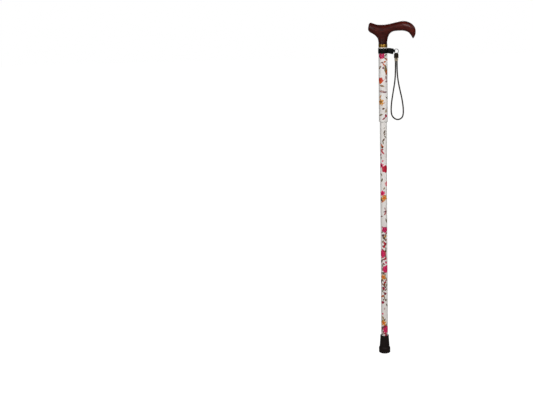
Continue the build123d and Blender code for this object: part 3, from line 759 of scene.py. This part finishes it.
def tube_lip():
    """The pale plastic lip that closes the wide tube's foot round the narrow tube."""
    low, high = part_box("upper_tube_bush")
    bore = NARROW_R + 0.05 * mm
    profile = [(bore, low.z), (bore + 0.5 * mm, low.z)]
    for i in range(9):
        turn = pi / 2 * i / 8
        profile.append((high.x - LIP_ROUND * (1 - sin(turn)), low.z + LIP_ROUND * (1 - cos(turn))))
    profile += [(high.x, UPPER_FOOT_Z), (UPPER_R - UPPER_WALL, UPPER_FOOT_Z),
                (UPPER_R - UPPER_WALL, high.z), (bore, high.z)]
    return lathe("tube_lip", profile, 128)


def rubber_tip():
    """The rubber tip: a tapered body, a flange with a foot bead, and a ringed tread."""
    flange = top_of("rubber_tip").x
    profile = [(0.0, 0.0)]
    for r in (4.0, 7.5, 11.0):
        profile += [(r, 0.0), (r + 0.15, 1.2), (r + 1.35, 1.2), (r + 1.5, 0.0)]
    profile += [
        (14.2, 0.0), (14.75, 0.35), (15.1, 0.95), (15.2, 1.7), (15.1, 2.3), (14.7, 2.65),
        (14.6, 2.95), (14.85, 3.4), (15.05, 4.6), (15.15, 8.0), (15.1, 12.2), (14.8, 13.6),
        (14.2, 14.6), (13.5, 15.4), (13.15, 16.4), (13.0, 18.5), (12.1, 32.0), (11.35, 44.5),
        (11.25, 46.3), (11.2, 47.2), (11.0, 47.9), (10.5, 48.3), (9.9, 48.4), (9.2, 48.2),
        (8.82, 47.4), (8.8, 46.0), (8.8, 8.0), (0.0, 8.0),
    ]
    return lathe("rubber_tip_moulded", [(min(r * mm, flange), z * mm) for r, z in profile], 144, 40)


# ---- wrist strap ------------------------------------------------------------
LEATHER = 0.9 * mm
STRIP_EDGE = 0.3 * mm
LOOP_R = 2.55 * mm
LOOP_OUTER_R = LOOP_R + LEATHER / 2
BAND_WAVE = 0.25 * mm
STITCH_PITCH = 2.1
STITCH_HALF_LENGTH = 0.75 * mm
STITCH_HALF_WIDTH = 0.22 * mm
STITCH_HEIGHT = 0.2 * mm
SLEEVE_CORNER = 1.0 * mm
FERRULE_CORNER = 2.2 * mm


def strip_ring(point, out, low, high, half_thick):
    """One rounded cross-section of a leather strip that stands between two heights."""
    corners = [(-half_thick, low), (half_thick, low), (half_thick, high), (-half_thick, high)]
    return [point + out * across + Vector((0, 0, height)) for across, height in
            rounded(corners, STRIP_EDGE, 3)]


def strap_band():
    """The strip that wraps the tube, and whose two ends run out together to the ring."""
    middle_r = UPPER_R + 0.1 * mm + LEATHER / 2
    loop_x = top_of("strap_band").x - LOOP_OUTER_R
    half = LEATHER / 2
    wrap = [radians(12 * i) for i in range(13)]
    loop = [radians(60 + 30 * i) for i in range(4)]
    plan = [(-middle_r * cos(t), -middle_r * sin(t)) for t in wrap]
    plan += [(11.6 * mm, -3.4 * mm), (12.6 * mm, -1.8 * mm), (14.0 * mm, -0.85 * mm), (16.5 * mm, -half),
             (20.0 * mm, -half), (22.6 * mm, -half - 0.05 * mm), (24.6 * mm, -1.2 * mm)]
    plan += [(loop_x - LOOP_R * cos(t), -LOOP_R * sin(t)) for t in loop]
    plan += [(loop_x + LOOP_R, 0)]
    plan += [(x, -y) for x, y in plan[-2:0:-1]]
    run = spline(plan, 5, closed=True)
    rings = []
    for i, (x, y) in enumerate(run):
        before, after = Vector(run[i - 1]), Vector(run[(i + 1) % len(run)])
        along = (after - before).normalized()
        out = Vector((along.y, -along.x, 0))
        tail = part_way(x, 12 * mm, 13 * mm)
        over_loop = part_way(x, 26.0 * mm, 1.8 * mm)
        under_loop = part_way(x, 25.0 * mm, 1.4 * mm)
        wave = BAND_WAVE * sin(x / mm * 0.42 + 1.2) * (1 if y < 0 else 0.6)
        top = BAND_TOP_Z + (0.75 - 1.5 * tail ** 1.6 - 3.85 * over_loop ** 1.3) * mm + wave * 0.8
        low = BAND_FOOT_Z + (0.15 - 2.6 * tail ** 0.8 + 5.3 * under_loop ** 0.8) * mm + wave * 0.5
        rings.append(strip_ring(Vector((x, y, 0)), out, low, top, half))
    return skin("strap_band_leather", rings, closed_run=True, sharp_angle=60)


def band_stitching():
    """Two rows of stitches where the band's ends are sewn together, and one up the end."""
    points, faces = [], []
    rows = [((15.6 + STITCH_PITCH * k, BAND_TOP_Z / mm - 1.9 - 0.09 * k), 0) for k in range(5)]
    rows += [((15.6 + STITCH_PITCH * k, BAND_FOOT_Z / mm + 1.6 - 0.1 * k), 0) for k in range(5)]
    rows += [((15.4, BAND_TOP_Z / mm - 3.6 - STITCH_PITCH * k), 90) for k in range(4)]
    for side in (-1, 1):
        for (x, z), turn in rows:
            direction = Vector((cos(radians(turn)), 0, sin(radians(turn))))
            across = Vector((-direction.z, 0, direction.x))
            centre = Vector((x * mm, side * LEATHER, z * mm))
            start = len(points)
            for i in range(9):
                t = i / 8 * 2 - 1
                swell = sqrt(max(1 - t * t, 0.0)) ** 0.6
                for around in turns(8):
                    points.append(centre + direction * (t * STITCH_HALF_LENGTH)
                                  + across * (STITCH_HALF_WIDTH * swell * cos(around))
                                  + Vector((0, side * STITCH_HEIGHT * swell * sin(around), 0)))
            for i in range(8):
                for j in range(8):
                    k = (j + 1) % 8
                    a, b = start + i * 8, start + (i + 1) * 8
                    faces.append((a + j, a + k, b + k, b + j))
    return add_mesh("strap_stitches", points, faces)


def strap_ring():
    """The round wire ring."""
    wire = RING_WIRE_R
    centre_r = RING_OUTER_R - wire
    rings = []
    for turn in turns(96):
        out = Vector((cos(turn), 0, sin(turn)))
        rings.append([RING_CENTRE + out * (centre_r + wire * cos(t)) + Vector((0, wire * sin(t), 0))
                      for t in turns(20)])
    return skin("strap_ring_wire", rings, closed_run=True)


def rounded_slab(z, width, thickness, corner):
    """A level rounded rectangle of points round the ring's middle."""
    outline = rounded(rectangle(width / 2, thickness / 2), corner, 6)
    return [(RING_CENTRE.x + x, y, z) for x, y in outline]


def strap_sleeve():
    """The folded leather keeper: a body that grips the ferrule, and a loop round the ring."""
    foot = foot_of("strap_sleeve").z
    body = [(0.0, 11.0, 3.7), (0.25, 11.3, 3.95), (2.5, 11.4, 4.0), (6.2, 11.3, 4.0), (9.0, 11.1, 4.1),
            (10.5, 10.8, 4.2), (11.0, 10.1, 4.2), (11.15, 9.4, 4.0)]
    rings = [rounded_slab(foot + z * mm, w * mm, t * mm, SLEEVE_CORNER) for z, w, t in spline(body, 3)]
    centre = Vector((RING_CENTRE.x, 0, RING_CENTRE.z - RING_OUTER_R + RING_WIRE_R))
    loop_rings = []
    loop_half_widths = [3.9, 3.7, 3.5, 3.3, 3.2, 3.3, 3.5, 3.7, 3.9]
    for i, half_wide in enumerate(loop_half_widths):
        turn = radians(-35 + 250 * i / (len(loop_half_widths) - 1))
        out = Vector((0, cos(turn), sin(turn)))
        section = rounded(rectangle(0.45, half_wide), 0.3, 3)
        loop_rings.append([centre + out * ((1.3 + across) * mm) + Vector((wide * mm, 0, 0))
                           for across, wide in section])
    return join_meshes("strap_sleeve_leather",
                       [skin("body", rings, sharp_angle=70), skin("loop", loop_rings, sharp_angle=60)])


def strap_ferrule():
    """The crimped metal ferrule, pressed in by two grooves."""
    low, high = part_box("strap_ferrule")
    width, thickness = high.x - low.x, high.y - low.y
    rows = [(0.0, 0.94), (0.15, 0.975), (0.5, 1.0), (1.5, 1.0), (1.85, 0.975), (2.1, 0.93), (2.8, 0.93),
            (3.05, 0.975), (3.3, 1.0), (4.7, 1.0), (5.0, 0.975), (5.3, 0.93), (6.0, 0.93), (6.25, 0.975),
            (6.5, 1.0), (7.6, 1.0), (7.9, 0.97), (8.0, 0.94)]
    rings = [rounded_slab(low.z + z * mm, width * grow, thickness * grow, FERRULE_CORNER * grow)
             for z, grow in rows]
    return skin("strap_ferrule_crimped", rings, sharp_angle=60)


# The wrist loop's route, in metres: the same points as the part's own.
CORD_ROUTE = [
    (0.0310, 0.0, 0.7710),
    (0.0310, 0.0, 0.7480),
    (0.0296, -0.0008, 0.7220),
    (0.0246, -0.0016, 0.6930),
    (0.0199, -0.0018, 0.6630),
    (0.0197, -0.0012, 0.6395),
    (0.0250, -0.0006, 0.6295),
    (0.0335, -0.0001, 0.6242),
    (0.0428, 0.0004, 0.6254),
    (0.0496, 0.0009, 0.6326),
    (0.0506, 0.0015, 0.6500),
    (0.0470, 0.0019, 0.6770),
    (0.0406, 0.0013, 0.7040),
    (0.0362, 0.0005, 0.7290),
    (0.0347, 0.0, 0.7510),
    (0.0347, 0.0, 0.7710),
]
CORD_DIAMETER = 0.0036
BRAID_STRANDS = 6
BRAID_PACE = 2600.0
BRAID_RELIEF = 0.16 * mm
CORD_POINTS_ROUND = 36
CORD_STEP = 0.45 * mm


def route_points(route):
    """Points along the smooth line that a NURBS curve makes of a route."""
    curve = bpy.data.curves.new("route", "CURVE")
    curve.dimensions = "3D"
    curve.resolution_u = 40
    line = curve.splines.new("NURBS")
    line.points.add(len(route) - 1)
    for point, place in zip(line.points, route):
        point.co = (*place, 1)
    line.order_u = 3
    line.use_endpoint_u = True
    holder = bpy.data.objects.new("route", curve)
    mesh = bpy.data.meshes.new_from_object(holder)
    points = [vertex.co.copy() for vertex in mesh.vertices]
    bpy.data.objects.remove(holder)
    return points


def even_steps(points, step):
    """The same line with its points an even step apart."""
    total = sum((b - a).length for a, b in zip(points, points[1:]))
    count = ceil(total / step)
    result, walked, i = [points[0]], 0.0, 0
    for k in range(1, count):
        target = total * k / count
        while walked + (points[i + 1] - points[i]).length < target:
            walked += (points[i + 1] - points[i]).length
            i += 1
        run = points[i + 1] - points[i]
        result.append(points[i] + run * ((target - walked) / run.length))
    return result + [points[-1]]


def wrist_cord():
    """The round braided cord of the wrist loop, its strands standing out in relief."""
    line = even_steps(route_points(CORD_ROUTE), CORD_STEP)
    rings, uvs = [], []
    side = Vector((0, 1, 0))
    walked = 0.0
    for i, point in enumerate(line):
        along = (line[min(i + 1, len(line) - 1)] - line[max(i - 1, 0)]).normalized()
        side = (side - along * side.dot(along)).normalized()
        other = along.cross(side)
        if i:
            walked += (point - line[i - 1]).length
        ring = []
        for turn in turns(CORD_POINTS_ROUND):
            right = sin(walked * BRAID_PACE + turn * BRAID_STRANDS)
            left = sin(walked * BRAID_PACE - turn * BRAID_STRANDS)
            radius = CORD_DIAMETER / 2 - BRAID_RELIEF * (1 - max(right, left)) / 2
            ring.append(point + side * (radius * cos(turn)) + other * (radius * sin(turn)))
            uvs.append((walked, turn))
        rings.append(ring)
    cord = skin("wrist_cord_braid", rings, sharp_angle=180)
    layer = cord.data.uv_layers.new(name="run")
    for polygon in cord.data.polygons:
        corners = [cord.data.loops[k].vertex_index for k in polygon.loop_indices]
        around = [uvs[c][1] if c < len(uvs) else 0.0 for c in corners]
        wraps = max(around) - min(around) > pi
        for k, c, turn in zip(polygon.loop_indices, corners, around):
            walked = uvs[c][0] if c < len(uvs) else uvs[0][0]
            layer.data[k].uv = (walked, turn + 2 * pi if wraps and turn < pi else turn)
    return cord, line


# ---- build ------------------------------------------------------------------
gold = metal_look("gold_metal", rgb("b38c42"), rgb("98702c"), 0.38, scratches=0.02)
steel = metal_look("steel_metal", rgb("8e9092"), rgb("65686a"), 0.3, scratches=0.05)
aluminium = metal_look("aluminium_metal", rgb("c4c6c8"), rgb("94979a"), 0.36)
nickel = metal_look("nickel_metal", rgb("a89c88"), rgb("7b6f5f"), 0.32, scratches=0.05)
white_plastic = moulded_look("white_plastic_moulded", rgb("dfdcd8"), rgb("cfcbc6"), 0.42, bump=0.05)
ring_steel = metal_look("ring_steel_metal", rgb("55585a"), rgb("36383a"), 0.24, scratches=0.05)
black_plastic = moulded_look("black_plastic_moulded", rgb("1c1c1d"), rgb("0c0c0d"), 0.45)
rubber = moulded_look("rubber_moulded", rgb("221917"), rgb("150e0c"), 0.52, 1100, 0.2, 0.12)
leather = leather_look("strap_leather", rgb("020303"), rgb("0c0e0d"))
sleeve_leather = leather_look("sleeve_leather", rgb("120e09"), rgb("2c251b"))
thread = thread_look("strap_thread", rgb("2a2723"), rgb("100f0d"))
elastic = thread_look("elastic_weave", rgb("4a4a4c"), rgb("1a1a1b"))

wood = handle()
finish_piece(wood, wood_look(), "grip", "wood", "handle")
finish_piece(gold_collar(), gold, "grip", "gold", "gold_collar")

motifs = {kind: Motif(kind) for kind in ("rose", "blossom", "leaf", "bud", "tulip")}
tube = upper_tube()
finish_piece(tube, print_look("upper_tube_film", UPPER_R, foot_of("upper_tube").z, top_of("upper_tube").z,
                              motifs), "grip", "printed_tube", "upper_tube")
finish_piece(tube_lip(), white_plastic, "grip", "white_plastic", "upper_tube_bush")
for node, body in (("inner_tube", "inner"), ("section_2_tube", "section_2"),
                   ("section_3_tube", "section_3"), ("section_4_tube", "section_4")):
    film = print_look(node + "_film", NARROW_R, foot_of(node).z, top_of(node).z, motifs)
    if node == "inner_tube":
        dress(nodes[node], film)
    else:
        finish_piece(narrow_tube(node), film, body, "printed_tube", node)
finish_piece(rubber_tip(), rubber, "section_4", "rubber", "rubber_tip")

finish_piece(strap_band(), leather, "band", "strap_leather", "strap_band")
finish_piece(band_stitching(), thread, "band", "thread", "band_stitching")
finish_piece(strap_ring(), ring_steel, "ring", "steel", "strap_ring")
finish_piece(strap_sleeve(), sleeve_leather, "wrist_strap", "strap_leather", "strap_sleeve")
ferrule = strap_ferrule()
finish_piece(ferrule, nickel, "wrist_strap", "nickel", "strap_ferrule")
cord, cord_line = wrist_cord()
finish_piece(cord, braid_look(), "wrist_strap", "braided_cord", "wrist_cord")

kept = {
    aluminium: ["handle_stem", "spigot_1", "spigot_2", "spigot_3"],
    steel: ["stem_pin", "anchor_pin", "snap_button", "button_spring", "cord_stop_top",
            "cord_stop_bottom", "tip_washer"],
    black_plastic: ["inner_top_bush", "cord_anchor_plug", "lower_anchor_plug"],
    elastic: ["elastic_cord"],
}
for material, names in kept.items():
    for name in names:
        dress(nodes[name], material)


# ---- floor, light and camera --------------------------------------------------
EYE = (0, -2.3507, 0.93627)
LENS = 62.435
PAN, LOOK_DOWN, ROLL = 7.4033, 12.3345, 1.9203
MIDDLE = (0, 0, 0.5)
ROOM_LIGHT = 0.08


def floor():
    """A plain floor: white paper to the camera, and mid grey to every other ray."""
    rings = [[(x, y, 0.0) for x in (-6.0, 6.0)] for y in (-4.0, 12.0)]
    sweep = skin("floor", rings, closed_section=False, caps=False, sharp_angle=180)
    look = Look("floor_paper", Roughness=0.9, Specular_IOR_Level=0.1)
    glow = look.ramp(look.noise(3, 2), (0.3, rgb("fdfdfc")), (0.7, rgb("ffffff")))
    seen = look.add("LightPath").outputs["Is Camera Ray"]
    look.set(Base_Color=look.mix(seen, rgb("b4b4b4"), rgb("8a8a8a")), Emission_Color=glow)
    look.set(Emission_Strength=seen)
    sweep.data.materials.append(look.material)


def area_light(name, place, target, size, power):
    """A square soft light at a place, turned to a target."""
    data = bpy.data.lights.new(name, "AREA")
    data.shape = "SQUARE"
    data.size = size
    data.energy = power
    lamp = add_object(name, data)
    lamp.location = place
    lamp.rotation_euler = (Vector(target) - Vector(place)).to_track_quat("-Z", "Y").to_euler()


def camera():
    """The camera stands in front of the cane, a little above its handle, and looks down."""
    data = bpy.data.cameras.new("camera")
    data.sensor_width = 36
    data.lens = LENS
    data.clip_start = 0.05
    eye = add_object("camera", data)
    eye.location = EYE
    turn = (Matrix.Rotation(radians(PAN), 4, "Z") @ Matrix.Rotation(radians(90 - LOOK_DOWN), 4, "X")
            @ Matrix.Rotation(radians(-ROLL), 4, "Z"))
    eye.rotation_euler = turn.to_euler()
    bpy.context.scene.camera = eye


floor()
area_light("key", (0.95, -2.2, 1.7), MIDDLE, 0.9, 38)
area_light("fill", (-1.3, -2.4, 1.2), MIDDLE, 1.0, 24)
area_light("right_strip", (1.9, -0.1, 1.75), MIDDLE, 0.35, 5)
area_light("left_strip", (-2.0, -0.5, 1.3), MIDDLE, 0.35, 3)
area_light("back", (-0.4, 2.6, 1.7), MIDDLE, 1.2, 24)
world = bpy.data.worlds.new("studio")
world.use_nodes = True
world_nodes, world_links = world.node_tree.nodes, world.node_tree.links
seen = world_nodes.new("ShaderNodeLightPath").outputs["Is Camera Ray"]
strength = world_nodes.new("ShaderNodeMapRange")
strength.inputs["To Min"].default_value = ROOM_LIGHT
strength.inputs["To Max"].default_value = 1.0
world_links.new(seen, strength.inputs["Value"])
world_links.new(strength.outputs[0], world_nodes["Background"].inputs["Strength"])
world_nodes["Background"].inputs["Color"].default_value = (1, 1, 1, 1)
bpy.context.scene.world = world
bpy.context.scene.view_settings.view_transform = "Standard"
camera()
